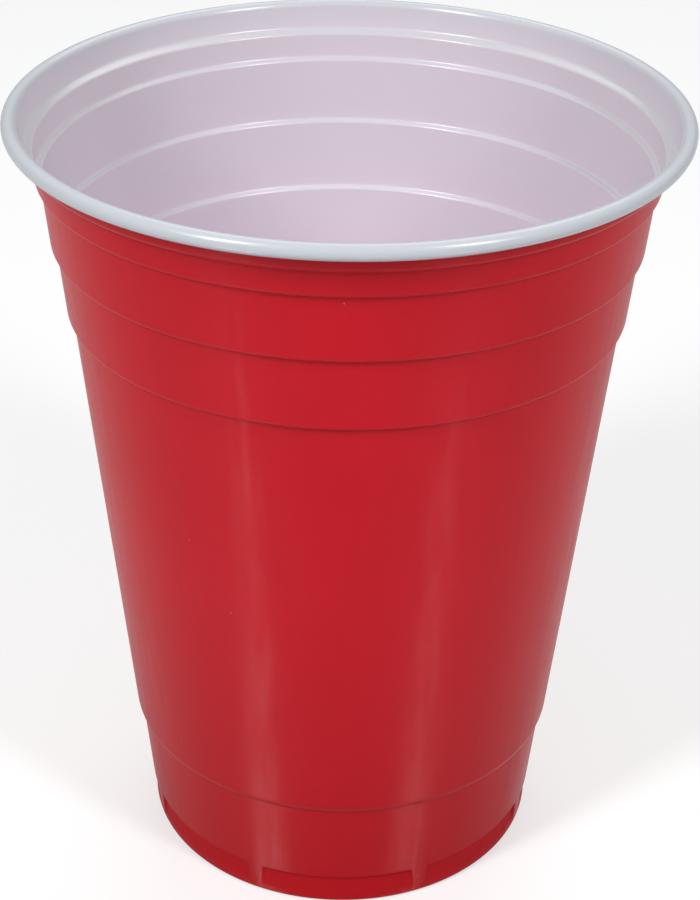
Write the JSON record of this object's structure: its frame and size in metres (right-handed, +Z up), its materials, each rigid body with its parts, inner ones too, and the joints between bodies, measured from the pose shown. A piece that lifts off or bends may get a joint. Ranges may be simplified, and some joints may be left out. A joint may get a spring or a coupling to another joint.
{
  "type": "plastic party cup",
  "caption": "Tapered disposable drinking cup in one formed plastic sheet, red outside and white inside, with a rolled rim, stepped bands and a ribbed foot.",
  "frame": {"origin": "centre of the flat standing ring under the foot", "axes": "+Z up along the cup's axis towards the rim, -Y towards the viewer of the front"},
  "size_m": [0.095, 0.095, 0.1176],
  "materials": {
    "cup_plastic": "semi-gloss moulded sheet, red outside and white inside and on the rolled rim"
  },
  "bodies": {
    "root": {"cup": "cup_plastic"}
  },
  "joints": []
}
